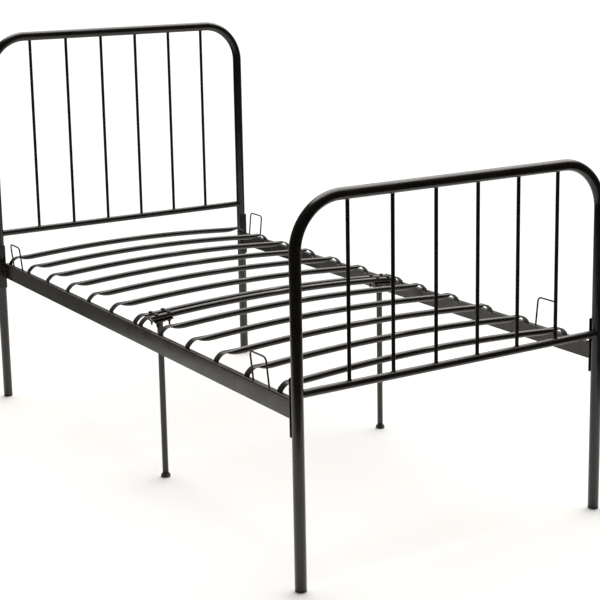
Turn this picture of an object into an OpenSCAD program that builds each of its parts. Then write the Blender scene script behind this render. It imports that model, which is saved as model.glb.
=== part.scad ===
// Single metal bed frame: bent-tube headboard and footboard, angle side rails,
// arched tube slats, two mid legs with levelling glides and four mattress retainers.
// +X is the sleeper's left-to-right width, +Y runs towards the headboard, +Z is up.
// The origin is on the floor, in the middle of the frame.

/* [Overall] */
// Distance between the centres of the left and right posts
post_spacing = 960; // [860:10:1100]
// Distance between the planes of the headboard and the footboard
frame_length = 1940; // [1880:10:2060]

/* [Hoops] */
// Outside diameter of the tube that is bent into each hoop
hoop_d = 30; // [26:0.5:34]
// Wall thickness of the hoop tube
hoop_wall = 1.5; // [1.2:0.1:2]
// Centreline radius of the two corner bends of a hoop
bend_r = 130; // [90:1:140]
// Height of the headboard's top bar, to its centreline
head_top_z = 1250; // [1100:5:1300]
// Height of the footboard's top bar, to its centreline
foot_top_z = 976; // [850:2:1040]
// Height of the headboard's lower bar, to its centreline
head_bar_z = 581; // [560:1:640]
// Height of the footboard's lower bar, to its centreline
foot_bar_z = 502; // [498:1:560]
// Outside diameter of the two lower bars
bar_d = 21; // [18:0.5:24]
// Wall thickness of the lower bars
bar_wall = 1.2; // [1:0.1:1.6]
// Diameter of the upright spindles
spindle_d = 10; // [8:0.5:12]
// Distance between neighbouring spindles
spindle_pitch = 132; // [120:1:136]

/* [Post plugs] */
// Height of the plug's head, which the post stands on
plug_h = 5; // [4:0.5:8]
// Length of the plug's spigot inside the post
plug_spigot = 22; // [15:1:30]

/* [Side rails] */
// Height of the lower edge of the rails above the floor
rail_bottom_z = 428; // [420:1:434]
// Height of a rail's upright web
rail_h = 50; // [46:1:54]
// Thickness of the rail's steel
rail_t = 2.5; // [2:0.1:3]
// Width of the flange along the top of a rail
flange_w = 16; // [14:0.5:20]
// Distance from a post's centre inwards to the outer face of its rail
rail_inset = 7; // [5:0.5:9]

/* [Rail end plates] */
// Height of the plate welded to each end of a rail
end_plate_h = 150; // [120:1:156]
// Width of the end plate
end_plate_w = 26; // [24:1:30]
// Thickness of the end plate
end_plate_t = 3; // [2.5:0.5:4]
// Thickness of the hooks on the end plate
hook_t = 3; // [2.5:0.5:4]

/* [Slats] */
// Outside diameter of the slat tubes
slat_d = 18; // [16:0.5:20]
// Wall thickness of the slat tubes
slat_wall = 1.2; // [1:0.1:1.5]
// Distance from the middle of the bed to the end of a slat's round part
slat_half = 434; // [430:1:436]
// Height of the slats' arch, from the ends of the round part to the middle
slat_rise = 18; // [10:1:20]
// Height of the centreline at the ends of the round part, above the rail's top
slat_end_lift = 15; // [13:0.5:18]
// Distance between neighbouring slats
slat_pitch = 162; // [150:1:163]
// Place along the bed of the slat nearest the headboard
first_slat_y = 922; // [910:1:932]
// Distance from the middle slat to the extra tube beside it
middle_gap = 36; // [32:1:44]
// Thickness of the flattened tongue at a slat's end
tongue_t = 3; // [2.4:0.1:3.2]
// Width of the flattened tongue
tongue_w = 24; // [20:1:26]

/* [Mid legs] */
// Distance from the bed's middle plane to the centre of a mid leg
leg_x = 390; // [370:1:394]
// Outside diameter of a mid leg
leg_d = 18; // [16:0.5:22]
// Wall thickness of a mid leg
leg_wall = 1.2; // [1:0.1:1.6]
// Length and width of the plate on top of a mid leg
leg_plate = [62, 62];
// Thickness of that plate
leg_plate_t = 3; // [2.5:0.5:4]
// Distance of the plate's bolts from the leg's centre, along the slats
leg_bolt_x = 20; // [16:1:20]
// Diameter of the glide's base
glide_d = 28; // [24:1:34]
// Height of the glide under the leg's insert
glide_h = 16; // [14:1:20]
// Outside diameter of the glide's threaded stem
stem_d = 8; // [6:1:8]

/* [Retainer loops] */
// Diameter of the wire
wire_d = 5; // [4:0.5:6]
// Height of a loop above the rail, to the wire's centreline
loop_h = 80; // [60:1:85]
// Distance between the two legs of a loop
loop_w = 78; // [70:1:84]
// Inside bend radius of the wire, to its centreline
loop_r = 12; // [8:1:16]
// Outward lean of the loops, in degrees
loop_lean = 6; // [0:1:8]

/* [Hidden] */
SPINDLES = 6;
SLATS = 12;
MIDDLE_SLAT = 7;
EPS = 0.01;
ROUND = 64;      // sides on a small round section
BEND_FN = 128;   // steps in a full turn of a hoop bend
ARCH_FN = 1440;  // steps in a full turn of the slats' very large arch

powder = "#26241f";
plastic = "#141414";
black_zinc = "#3c3b38";

post_x = post_spacing / 2;
plane_y = frame_length / 2;
hoop_bore = hoop_d - 2 * hoop_wall;

rail_top_z = rail_bottom_z + rail_h;
rail_x = post_x - rail_inset;             // outer face of the web
rail_end_y = plane_y - hoop_d / 2 - end_plate_t;
rail_mid_z = rail_bottom_z + rail_h / 2;
end_plate_lift = 14;                       // the end plate's middle is higher than the rail's
hook_neck_h = 8;
hook_lip_h = 8;                           // height of the lip, which hangs behind the post's wall
hook_lip_t = 3;
hook_reach = hoop_wall + 0.5 + hook_lip_t;
hook_zs = [rail_mid_z - 38, rail_mid_z + 34];   // undersides of the necks
slot_w = hook_t + 0.6;
slot_room = 1;                            // room above and below a hook in its slot
slot_from = 5;                            // a slot's cut starts this far from the post's axis
plug_wall = 3;

// A slat's tube is bent to one large circle.
slat_r = (slat_half * slat_half + slat_rise * slat_rise) / (2 * slat_rise);
end_slope = asin(slat_half / slat_r);
slat_end_z = rail_top_z + slat_end_lift;
arch_z = slat_end_z - slat_r * cos(end_slope);   // centre of the circle
crush_angle = 45;                          // slope of the crushed tube end
bore_half = slat_half - 20;                // the crushed end has no bore
swage = 0.5;                               // a bolted stretch is this much wider than the arch
stretch_len = 56;

// The tongue slopes down from the top of the tube, turns down to stand on the rail's
// flange, and ends in a narrower tab in the flange's slot.
tongue_down = 45;
bend_1 = 30;
bend_2 = 10;
tab_w = 16;
tab_drop = 10;
tab_x = rail_x - flange_w + 3;             // inner face of the tab
tab_slack = [0.2, 0.5];                    // room round the tab, across and along its slot
wall_mid = slat_d / 2 - tongue_t / 2;
tongue_x0 = slat_half + wall_mid * sin(end_slope);
tongue_z0 = slat_end_z + wall_mid * cos(end_slope);
tongue_root = 8;                           // how far the tongue reaches into the tube
tongue_run = (tab_x + tongue_t / 2 - tongue_x0 - bend_1 * (sin(tongue_down) - sin(end_slope))
  - bend_2 * (1 - sin(tongue_down))) / cos(tongue_down);

leg_y = first_slat_y - (MIDDLE_SLAT - 1) * slat_pitch - middle_gap / 2;
leg_bolt_y = middle_gap / 2;
bolt_d = 6;
bolt_hole = 6.6;
bolt_seat = (slat_d + swage) / 2;          // from the tubes' centrelines to the plate and the heads
bolt_tail = 17;                            // length of a bolt under the plate
washer_d = 13;
washer_t = 1.2;
nut_t = 5;
insert_flange = 2;
insert_len = 20;
insert_bore = stem_d + 0.1;
stem_len = 30;

head_loop_y = 843;                         // middle of the loops near the headboard
foot_loop_y = -775;                        // middle of the loops near the footboard
loop_x = rail_x - flange_w / 2;

// ---- hoops ----

// A solid hoop of the given diameter, from the plugs up and across.
module hoop_path(top_z, d, from_z) {
  for (side = [-1, 1]) {
    translate([side * post_x, 0, from_z]) cylinder(h = top_z - bend_r - from_z, d = d, $fn = ROUND);
    translate([side * (post_x - bend_r), 0, top_z - bend_r]) rotate([90, 0, 0])
      rotate([0, 0, side > 0 ? 0 : 90])
        rotate_extrude(angle = 90, $fn = BEND_FN) translate([bend_r, 0]) circle(d = d, $fn = ROUND);
  }
  translate([-(post_x - bend_r), 0, top_z]) rotate([0, 90, 0])
    cylinder(h = 2 * (post_x - bend_r), d = d, $fn = ROUND);
}

// A hoop with its open bore and the hook slots on the side that faces the bed.
module hoop(top_z, facing) {
  color(powder) difference() {
    hoop_path(top_z, hoop_d, plug_h);
    hoop_path(top_z, hoop_bore, plug_h);
    for (side = [-1, 1], z = hook_zs)
      translate([side * post_x - slot_w / 2, facing > 0 ? slot_from : -slot_from - hoop_d / 2,
                 z - hook_lip_h - slot_room])
        cube([slot_w, hoop_d / 2, hook_neck_h + hook_lip_h + 2 * slot_room]);
  }
}

// A lower bar, coped to the two posts.
module lower_bar(z) {
  color(powder) difference() {
    translate([-post_x, 0, z]) rotate([0, 90, 0]) cylinder(h = post_spacing, d = bar_d, $fn = ROUND);
    translate([-post_x - 1, 0, z]) rotate([0, 90, 0])
      cylinder(h = post_spacing + 2, d = bar_d - 2 * bar_wall, $fn = ROUND);
    for (side = [-1, 1])
      translate([side * post_x, 0, z - bar_d]) cylinder(h = 2 * bar_d, d = hoop_d, $fn = ROUND);
  }
}

// One upright spindle, coped to the lower bar and the top bar.
module spindle(number, low_z, high_z) {
  x = (number - (SPINDLES + 1) / 2) * spindle_pitch;
  color(powder) difference() {
    translate([x, 0, low_z]) cylinder(h = high_z - low_z, d = spindle_d, $fn = ROUND);
    translate([x - spindle_d, 0, low_z]) rotate([0, 90, 0])
      cylinder(h = 2 * spindle_d, d = bar_d, $fn = ROUND);
    translate([x - spindle_d, 0, high_z]) rotate([0, 90, 0])
      cylinder(h = 2 * spindle_d, d = hoop_d, $fn = ROUND);
  }
}

// Plug in the foot of a post: a head on the floor and a hollow spigot in the bore.
module plug(side) {
  color(plastic) translate([side * post_x, 0, 0]) {
    difference() {
      union() {
        cylinder(h = plug_h, d = hoop_d, $fn = ROUND);
        cylinder(h = plug_h + plug_spigot, d = hoop_bore, $fn = ROUND);
      }
      translate([0, 0, plug_h - 1])
        cylinder(h = plug_spigot + 2, d = hoop_bore - 2 * plug_wall, $fn = ROUND);
    }
  }
}

// ---- side rails ----

function slat_y(number) = first_slat_y - (number - 1) * slat_pitch;
middle_tube_y = slat_y(MIDDLE_SLAT) - middle_gap;
slat_ys = concat([for (n = [1:SLATS]) slat_y(n)], [middle_tube_y]);

// The right rail; the left one is its mirror image.
module rail() {
  color(powder) difference() {
    union() {
      translate([rail_x - rail_t, -rail_end_y, rail_bottom_z]) cube([rail_t, 2 * rail_end_y, rail_h]);
      translate([rail_x - flange_w, -rail_end_y, rail_top_z - rail_t])
        cube([flange_w, 2 * rail_end_y, rail_t]);
    }
    for (y = slat_ys)
      translate([tab_x - tab_slack[0], y - tab_w / 2 - tab_slack[1], rail_top_z - rail_t - 1])
        cube([tongue_t + 2 * tab_slack[0], tab_w + 2 * tab_slack[1], rail_t + 2]);
  }
}

// End plate of the right rail at the footboard, with its two hooks.
module hook_plate() {
  wall = plane_y - hoop_d / 2;
  color(powder) translate([post_x, -wall, 0]) {
    translate([-end_plate_w / 2, 0, rail_mid_z - end_plate_h / 2 + end_plate_lift])
      cube([end_plate_w, end_plate_t, end_plate_h]);
    for (z = hook_zs) translate([-hook_t / 2, -hook_reach, z]) {
      cube([hook_t, hook_reach + EPS, hook_neck_h]);
      translate([0, 0, 1 - hook_lip_h]) cube([hook_t, hook_lip_t, hook_lip_h]);
    }
  }
}

// ---- slats ----

// Places its children on a slat's centreline, the given distance from the bed's middle.
module on_arch(x) {
  translate([0, 0, arch_z]) rotate([0, asin(x / slat_r), 0]) translate([0, 0, slat_r]) children();
}

// A bar of the given diameter along the arch, out to the given distance on both sides.
module arch(d, half) {
  slope = asin(half / slat_r);
  translate([0, 0, arch_z]) rotate([90, 0, 0]) rotate([0, 0, 90 - slope])
    rotate_extrude(angle = 2 * slope, $fn = ARCH_FN) translate([slat_r, 0]) circle(d = d, $fn = ROUND);
}

// Centreline of the tongue in the X-Z plane as [x, z, slope].
function tongue_path() = let (
    x1 = tongue_x0 + bend_1 * (sin(tongue_down) - sin(end_slope)),
    z1 = tongue_z0 - bend_1 * (cos(end_slope) - cos(tongue_down)),
    x2 = x1 + tongue_run * cos(tongue_down),
    z2 = z1 - tongue_run * sin(tongue_down)
  ) concat(
    [[tongue_x0 - tongue_root, tongue_z0 + tongue_root * tan(end_slope), end_slope]],
    [for (i = [0:4]) let (a = end_slope + (tongue_down - end_slope) * i / 4)
      [tongue_x0 + bend_1 * (sin(a) - sin(end_slope)),
       tongue_z0 - bend_1 * (cos(end_slope) - cos(a)), a]],
    [for (i = [0:6]) let (a = tongue_down + (90 - tongue_down) * i / 6)
      [x2 + bend_2 * (sin(a) - sin(tongue_down)), z2 - bend_2 * (cos(tongue_down) - cos(a)), a]],
    [[tab_x + tongue_t / 2, rail_top_z, 90]]
  );

// The tongue and its tab on the +X end of a slat.
module tongue() {
  half = tongue_t / 2;
  root = 2;                                // how far the tab reaches up into the tongue
  path = tongue_path();
  upper = [for (p = path) [p[0] + half * sin(p[2]), p[1] + half * cos(p[2])]];
  lower = [for (i = [len(path) - 1:-1:0]) let (p = path[i])
    [p[0] - half * sin(p[2]), p[1] - half * cos(p[2])]];
  translate([0, tongue_w / 2, 0]) rotate([90, 0, 0])
    linear_extrude(tongue_w) polygon(concat(upper, lower));
  translate([tab_x, -tab_w / 2, rail_top_z - tab_drop]) cube([tongue_t, tab_w, tab_drop + root]);
}

// The straight, slightly swaged stretch of a bolted tube, as a bar of the given diameter.
module bolt_stretch(d) {
  on_arch(leg_x) rotate([0, 90, 0]) cylinder(h = stretch_len, d = d, center = true, $fn = ROUND);
}

// A whole slat at its place along the bed; a bolted one has holes for the leg bolts.
module slat(y, bolted) {
  color(powder) translate([0, y, 0]) {
    difference() {
      union() {
        arch(slat_d, slat_half);
        if (bolted) for (side = [0, 1]) mirror([side, 0, 0]) bolt_stretch(slat_d + swage);
      }
      arch(slat_d - 2 * slat_wall, bore_half);
      for (side = [0, 1]) mirror([side, 0, 0]) {
        on_arch(slat_half) translate([0, 0, slat_d / 2 - tongue_t]) rotate([0, crush_angle, 0])
          translate([0, -slat_d, -3 * slat_d]) cube([3 * slat_d, 2 * slat_d, 3 * slat_d]);
        if (bolted) {
          bolt_stretch(slat_d + swage - 2 * slat_wall);
          for (step = [-1, 1]) on_arch(leg_x) translate([step * leg_bolt_x, 0, 0])
            cylinder(h = 2 * slat_d, d = bolt_hole, center = true, $fn = 48);
        }
      }
    }
    for (side = [0, 1]) mirror([side, 0, 0]) tongue();
  }
}

// ---- mid legs, all for the right side; the left ones are mirror images ----

module at_leg() {
  translate([0, leg_y, 0]) on_arch(leg_x) children();
}

module at_leg_bolts() {
  at_leg() for (dx = [-leg_bolt_x, leg_bolt_x], dy = [-leg_bolt_y, leg_bolt_y])
    translate([dx, dy, 0]) children();
}

module mid_leg() {
  cut = 4 * leg_d;
  color(powder) difference() {
    translate([leg_x, leg_y, glide_h + insert_flange])
      cylinder(h = slat_end_z - glide_h, d = leg_d, $fn = ROUND);
    translate([leg_x, leg_y, glide_h]) cylinder(h = slat_end_z, d = leg_d - 2 * leg_wall, $fn = ROUND);
    at_leg() translate([-cut / 2, -cut / 2, -bolt_seat - leg_plate_t]) cube(cut);
  }
}

module mid_leg_plate() {
  corner = 6;
  color(powder) difference() {
    at_leg() translate([0, 0, -bolt_seat - leg_plate_t]) {
      translate([-leg_plate[0] / 2 + corner, -leg_plate[1] / 2, 0])
        cube([leg_plate[0] - 2 * corner, leg_plate[1], leg_plate_t]);
      translate([-leg_plate[0] / 2, -leg_plate[1] / 2 + corner, 0])
        cube([leg_plate[0], leg_plate[1] - 2 * corner, leg_plate_t]);
      for (dx = [-1, 1], dy = [-1, 1])
        translate([dx * (leg_plate[0] / 2 - corner), dy * (leg_plate[1] / 2 - corner), 0])
          cylinder(h = leg_plate_t, r = corner, $fn = 48);
    }
    at_leg_bolts() translate([0, 0, -bolt_seat - leg_plate_t - 1])
      cylinder(h = leg_plate_t + 2, d = bolt_hole, $fn = 48);
  }
}

// Mushroom-head bolts, from above through the middle tubes and the plate.
module mid_leg_bolts() {
  head_d = 14;
  head_h = 3.4;
  shank_h = bolt_tail + leg_plate_t + 2 * bolt_seat;
  color(black_zinc) for (side = [0, 1]) mirror([side, 0, 0]) at_leg_bolts() translate([0, 0, bolt_seat]) {
    translate([0, 0, -shank_h]) cylinder(h = shank_h + EPS, d = bolt_d, $fn = 48);
    cylinder(h = head_h / 2, d = head_d, $fn = 48);
    translate([0, 0, head_h / 2]) cylinder(h = head_h / 2, d1 = head_d, d2 = head_d - 5, $fn = 48);
  }
}

module mid_leg_washers() {
  color(black_zinc) for (side = [0, 1]) mirror([side, 0, 0]) at_leg_bolts()
    translate([0, 0, -bolt_seat - leg_plate_t - washer_t]) difference() {
      cylinder(h = washer_t, d = washer_d, $fn = 48);
      translate([0, 0, -1]) cylinder(h = washer_t + 2, d = bolt_hole, $fn = 48);
    }
}

module mid_leg_nuts() {
  across_flats = 10;
  color(black_zinc) for (side = [0, 1]) mirror([side, 0, 0]) at_leg_bolts()
    translate([0, 0, -bolt_seat - leg_plate_t - washer_t - nut_t]) difference() {
      cylinder(h = nut_t, d = across_flats / cos(30), $fn = 6);
      translate([0, 0, -1]) cylinder(h = nut_t + 2, d = bolt_d, $fn = 48);
    }
}

// Threaded insert pressed into the bottom of a mid leg.
module leg_insert() {
  color(plastic) translate([leg_x, leg_y, glide_h]) difference() {
    union() {
      cylinder(h = insert_flange, d = leg_d, $fn = ROUND);
      cylinder(h = insert_flange + insert_len, d = leg_d - 2 * leg_wall, $fn = ROUND);
    }
    translate([0, 0, -1]) cylinder(h = insert_flange + insert_len + 2, d = insert_bore, $fn = ROUND);
  }
}

// Levelling glide: a round foot with a threaded stem.
module glide() {
  base_h = glide_h / 2;
  color(plastic) translate([leg_x, leg_y, 0]) {
    cylinder(h = base_h, d = glide_d, $fn = ROUND);
    translate([0, 0, base_h]) cylinder(h = glide_h - base_h, d1 = glide_d - 4, d2 = leg_d, $fn = ROUND);
    translate([0, 0, base_h]) cylinder(h = glide_h - base_h + stem_len, d = stem_d, $fn = ROUND);
  }
}

// ---- retainer loops, for the right side ----

// A loop of bent wire, welded upright on the rail's flange.
module retainer(y) {
  straight_h = loop_h - loop_r;
  bend_y = loop_w / 2 - loop_r;
  sunk = 1;                                // the wire is modelled this far into the flange, then cut off
  color(powder) translate([loop_x, y, rail_top_z]) rotate([0, loop_lean, 0]) difference() {
    union() {
      for (side = [-1, 1]) {
        translate([0, side * loop_w / 2, -sunk]) cylinder(h = straight_h + sunk, d = wire_d, $fn = 32);
        translate([0, side * bend_y, straight_h]) rotate([90, 0, 90]) rotate([0, 0, side > 0 ? 0 : 90])
          rotate_extrude(angle = 90, $fn = BEND_FN) translate([loop_r, 0]) circle(d = wire_d, $fn = 32);
      }
      translate([0, -bend_y, loop_h]) rotate([-90, 0, 0]) cylinder(h = 2 * bend_y, d = wire_d, $fn = 32);
    }
    rotate([0, -loop_lean, 0]) translate([-2 * wire_d, -loop_w, -2 * wire_d])
      cube([4 * wire_d, 2 * loop_w, 2 * wire_d]);
  }
}

// ---- mirrored and placed copies ----

module left() { mirror([1, 0, 0]) children(); }
module at_head() { translate([0, plane_y, 0]) children(); }
module at_foot() { translate([0, -plane_y, 0]) children(); }
module swap_ends() { mirror([0, 1, 0]) children(); }

at_head() hoop(head_top_z, -1);  // headboard_hoop
at_head() lower_bar(head_bar_z);  // headboard_lower_bar
at_head() spindle(1, head_bar_z, head_top_z);  // head_spindle_1
at_head() spindle(2, head_bar_z, head_top_z);  // head_spindle_2
at_head() spindle(3, head_bar_z, head_top_z);  // head_spindle_3
at_head() spindle(4, head_bar_z, head_top_z);  // head_spindle_4
at_head() spindle(5, head_bar_z, head_top_z);  // head_spindle_5
at_head() spindle(6, head_bar_z, head_top_z);  // head_spindle_6
at_foot() hoop(foot_top_z, 1);  // footboard_hoop
at_foot() lower_bar(foot_bar_z);  // footboard_lower_bar
at_foot() spindle(1, foot_bar_z, foot_top_z);  // foot_spindle_1
at_foot() spindle(2, foot_bar_z, foot_top_z);  // foot_spindle_2
at_foot() spindle(3, foot_bar_z, foot_top_z);  // foot_spindle_3
at_foot() spindle(4, foot_bar_z, foot_top_z);  // foot_spindle_4
at_foot() spindle(5, foot_bar_z, foot_top_z);  // foot_spindle_5
at_foot() spindle(6, foot_bar_z, foot_top_z);  // foot_spindle_6
at_head() plug(-1);  // head_left_plug
at_head() plug(1);  // head_right_plug
at_foot() plug(-1);  // foot_left_plug
at_foot() plug(1);  // foot_right_plug
left() rail();  // left_rail
rail();  // right_rail
left() swap_ends() hook_plate();  // head_left_hook_plate
swap_ends() hook_plate();  // head_right_hook_plate
left() hook_plate();  // foot_left_hook_plate
hook_plate();  // foot_right_hook_plate
slat(slat_y(1), false);  // slat_01
slat(slat_y(2), false);  // slat_02
slat(slat_y(3), false);  // slat_03
slat(slat_y(4), false);  // slat_04
slat(slat_y(5), false);  // slat_05
slat(slat_y(6), false);  // slat_06
slat(slat_y(7), true);  // slat_07
slat(slat_y(8), false);  // slat_08
slat(slat_y(9), false);  // slat_09
slat(slat_y(10), false);  // slat_10
slat(slat_y(11), false);  // slat_11
slat(slat_y(12), false);  // slat_12
slat(middle_tube_y, true);  // middle_cross_tube
left() mid_leg();  // left_mid_leg
mid_leg();  // right_mid_leg
left() mid_leg_plate();  // left_leg_plate
mid_leg_plate();  // right_leg_plate
mid_leg_bolts();  // leg_bolts
mid_leg_washers();  // leg_washers
mid_leg_nuts();  // leg_nuts
left() leg_insert();  // left_leg_insert
leg_insert();  // right_leg_insert
left() glide();  // left_glide
glide();  // right_glide
left() retainer(head_loop_y);  // head_left_retainer
retainer(head_loop_y);  // head_right_retainer
left() retainer(foot_loop_y);  // foot_left_retainer
retainer(foot_loop_y);  // foot_right_retainer
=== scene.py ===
"""Looks of a single metal bed frame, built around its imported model.

Bent-tube ends with spindles, folded steel side rails with hook-in end plates, arched tube
slats with crushed ends, two mid legs with levelling glides and four mattress retainers.
Lengths are in metres unless a name ends in _mm; +Y runs towards the headboard and +Z is up.
"""

import logging
import math
from dataclasses import dataclass, field
from enum import Enum
from typing import Callable, Sequence

import bmesh
import bpy
from mathutils import Matrix, Vector


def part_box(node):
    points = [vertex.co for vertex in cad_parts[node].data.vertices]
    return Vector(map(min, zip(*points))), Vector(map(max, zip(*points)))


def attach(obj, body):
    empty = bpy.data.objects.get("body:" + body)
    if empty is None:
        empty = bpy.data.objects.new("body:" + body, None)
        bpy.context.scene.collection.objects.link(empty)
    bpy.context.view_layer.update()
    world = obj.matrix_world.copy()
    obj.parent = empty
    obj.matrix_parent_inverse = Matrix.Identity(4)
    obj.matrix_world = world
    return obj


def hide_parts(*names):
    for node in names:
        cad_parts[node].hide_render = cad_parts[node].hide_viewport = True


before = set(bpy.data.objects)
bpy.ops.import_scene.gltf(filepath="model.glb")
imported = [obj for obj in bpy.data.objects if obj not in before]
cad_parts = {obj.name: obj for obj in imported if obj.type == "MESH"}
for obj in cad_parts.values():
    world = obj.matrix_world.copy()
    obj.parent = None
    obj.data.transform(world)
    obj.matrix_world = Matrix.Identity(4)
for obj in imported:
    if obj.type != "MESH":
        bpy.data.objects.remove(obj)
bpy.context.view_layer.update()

LOG = logging.getLogger("bed_frame")
MM = 0.001
TURN = 2 * math.pi
SLAT_COUNT = 12
MIDDLE_SLAT = 7
UP = Vector((0, 0, 1))
ACROSS = Vector((1, 0, 0))
ALONG = Vector((0, 1, 0))

Outline = list[tuple[float, float]]
Ring = list[Vector]


class Side(Enum):
    """The sleeper's left and right side, as the sign of X."""

    LEFT = -1
    RIGHT = 1

    @property
    def label(self) -> str:
        """The side's name in the node names."""
        return self.name.lower()

    def mirror(self) -> Matrix:
        """The mirror that takes the right side to this side."""
        return Matrix.Diagonal((self.value, 1, 1, 1))


class End(Enum):
    """The two ends of the bed, as the sign of Y."""

    FOOT = -1
    HEAD = 1

    @property
    def label(self) -> str:
        """The end's name in the node names."""
        return self.name.lower()


# ---------------------------------------------------------------- colours and nodes


def linear_rgba(hex_colour: str) -> tuple[float, float, float, float]:
    """Turns an sRGB hex colour into linear light.

    Args:
        hex_colour: The colour as #rrggbb.

    Returns:
        Red, green, blue and an alpha of 1.
    """
    channels = [int(hex_colour[i : i + 2], 16) / 255 for i in (1, 3, 5)]
    red, green, blue = (c / 12.92 if c <= 0.04045 else ((c + 0.055) / 1.055) ** 2.4 for c in channels)
    return red, green, blue, 1.0


def add_node(
    tree: bpy.types.NodeTree,
    kind: str,
    settings: dict[str, object] | None = None,
    **inputs: object,
) -> bpy.types.Node:
    """Adds a node with its settings, and sets or links its inputs.

    Args:
        tree: The node tree.
        kind: The node's type name.
        settings: Attributes of the node itself.
        **inputs: A value or an output socket for each input. An underscore stands for a space,
            and a name such as i2 means the input with that number.

    Returns:
        The node.
    """
    node = tree.nodes.new(kind)
    for name, value in (settings or {}).items():
        setattr(node, name, value)
    for name, value in inputs.items():
        numbered = name[0] == "i" and name[1:].isdigit()
        socket = node.inputs[int(name[1:]) if numbered else name.replace("_", " ")]
        if isinstance(value, bpy.types.NodeSocket):
            tree.links.new(value, socket)
        else:
            socket.default_value = value
    return node


def blend_colours(
    tree: bpy.types.NodeTree,
    factor: bpy.types.NodeSocket,
    low_hex: str,
    high_hex: str,
) -> bpy.types.NodeSocket:
    """Mixes two colours.

    Args:
        tree: The node tree.
        factor: How much of the second colour there is.
        low_hex: The first colour.
        high_hex: The second colour.

    Returns:
        The mixed colour.
    """
    mixed = add_node(
        tree,
        "ShaderNodeMix",
        {"data_type": "RGBA"},
        i0=factor,
        i6=linear_rgba(low_hex),
        i7=linear_rgba(high_hex),
    )
    return mixed.outputs[2]


# ---------------------------------------------------------------- finishes


@dataclass(frozen=True)
class Finish:
    """A surface finish: one material, a slot name and the ending of its pieces' names."""

    name: str
    slot: str
    ending: str

    def material(self) -> bpy.types.Material:
        """The finish's material, made the first time that it is asked for."""
        made = bpy.data.materials.get(self.name)
        if made is None:
            made = bpy.data.materials.new(self.name)
            made.use_nodes = True
            made.node_tree.nodes.clear()
            self.draw(made.node_tree)
        return made

    def draw(self, tree: bpy.types.NodeTree) -> None:
        """Draws the finish's nodes.

        Args:
            tree: The empty node tree of the material.
        """
        raise NotImplementedError

    @staticmethod
    def noise(
        tree: bpy.types.NodeTree, size_mm: float, detail: float, stretch: Vector
    ) -> bpy.types.NodeSocket:
        """A noise whose features are about size_mm across.

        Args:
            tree: The node tree.
            size_mm: The width of one feature in millimetres.
            detail: How many finer octaves it has.
            stretch: How much the noise is squeezed along each axis.

        Returns:
            The noise's factor.
        """
        place = add_node(tree, "ShaderNodeTexCoord")
        squeezed = add_node(tree, "ShaderNodeMapping", Vector=place.outputs["Object"], Scale=stretch)
        pattern = add_node(
            tree, "ShaderNodeTexNoise", Vector=squeezed.outputs[0], Scale=1 / (size_mm * MM), Detail=detail
        )
        return pattern.outputs["Fac"]

    @staticmethod
    def spread(
        tree: bpy.types.NodeTree, factor: bpy.types.NodeSocket, low: float, high: float
    ) -> bpy.types.NodeSocket:
        """Maps the middle of a noise's range to two values.

        Args:
            tree: The node tree.
            factor: The noise's factor.
            low: The value at the dark end of the noise.
            high: The value at its bright end.

        Returns:
            The mapped value.
        """
        mapped = add_node(
            tree, "ShaderNodeMapRange", Value=factor, From_Min=0.35, From_Max=0.65, To_Min=low, To_Max=high
        )
        return mapped.outputs[0]


@dataclass(frozen=True)
class PowderCoat(Finish):
    """Semi-gloss polyester powder coat, sprayed on welded steel and baked.

    To the eye it is nearly black with a warm, bronze cast where light grazes it, and it has a
    soft gloss that draws long pale streaks along every tube. The melt leaves a shallow orange
    peel. A painted highlight makes the coat a little paler on the crests of welds and along folded
    edges, and soft random clouds of the same paler tone stand for dust.
    """

    name: str = "semi_gloss_black_powder_coat"
    slot: str = "black_powder_coat"
    ending: str = "coated"
    colour: str = "#1c1811"
    # paler, warmer colour, used both for the painted highlight on edges and for random dust clouds
    worn_colour: str = "#2d2921"
    ior: float = 1.5
    roughness: float = 0.27
    roughness_change: float = 0.06
    peel_mm: float = 5.0  # real orange peel is about 2 mm wide, too fine to show, so it is drawn wider
    peel_depth_mm: float = 0.05
    dust_mm: float = 1.2  # real coat grain is about 0.1 mm
    cloud_mm: float = 90.0

    def draw(self, tree: bpy.types.NodeTree) -> None:
        """Draws the coat: colour clouds of dust, a painted highlight on convex edges, orange peel and
        grain.
        """
        even = Vector((1, 1, 1))
        clouds = self.noise(tree, self.cloud_mm, 3, even)
        peel = self.noise(tree, self.peel_mm, 1, even)
        dust = self.noise(tree, self.dust_mm, 2, even)
        shape = add_node(tree, "ShaderNodeNewGeometry")
        # painted highlight: pointiness makes convex edges, weld crests and folds paler
        edges = add_node(
            tree,
            "ShaderNodeMapRange",
            Value=shape.outputs["Pointiness"],
            From_Min=0.53,
            From_Max=0.62,
            To_Max=0.5,
        )
        patches = self.spread(tree, clouds, 0.0, 0.3)
        # the painted edge highlight or the random dust clouds, whichever is stronger, lifts the colour
        dust_and_edge_highlight = add_node(tree, "ShaderNodeMath", {"operation": "MAXIMUM"}, i0=edges.outputs[0], i1=patches)
        colour = blend_colours(tree, dust_and_edge_highlight.outputs[0], self.colour, self.worn_colour)
        rough = self.spread(
            tree, clouds, self.roughness - self.roughness_change, self.roughness + self.roughness_change
        )
        relief = add_node(tree, "ShaderNodeMath", {"operation": "MULTIPLY_ADD"}, i0=dust, i1=0.06, i2=peel)
        bump = add_node(
            tree,
            "ShaderNodeBump",
            Strength=0.16,
            Distance=self.peel_depth_mm * MM,
            Height=relief.outputs[0],
        )
        shader = add_node(
            tree,
            "ShaderNodeBsdfPrincipled",
            Base_Color=colour,
            Roughness=rough,
            IOR=self.ior,
            Normal=bump.outputs[0],
        )
        add_node(tree, "ShaderNodeOutputMaterial", Surface=shader.outputs[0])


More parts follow.
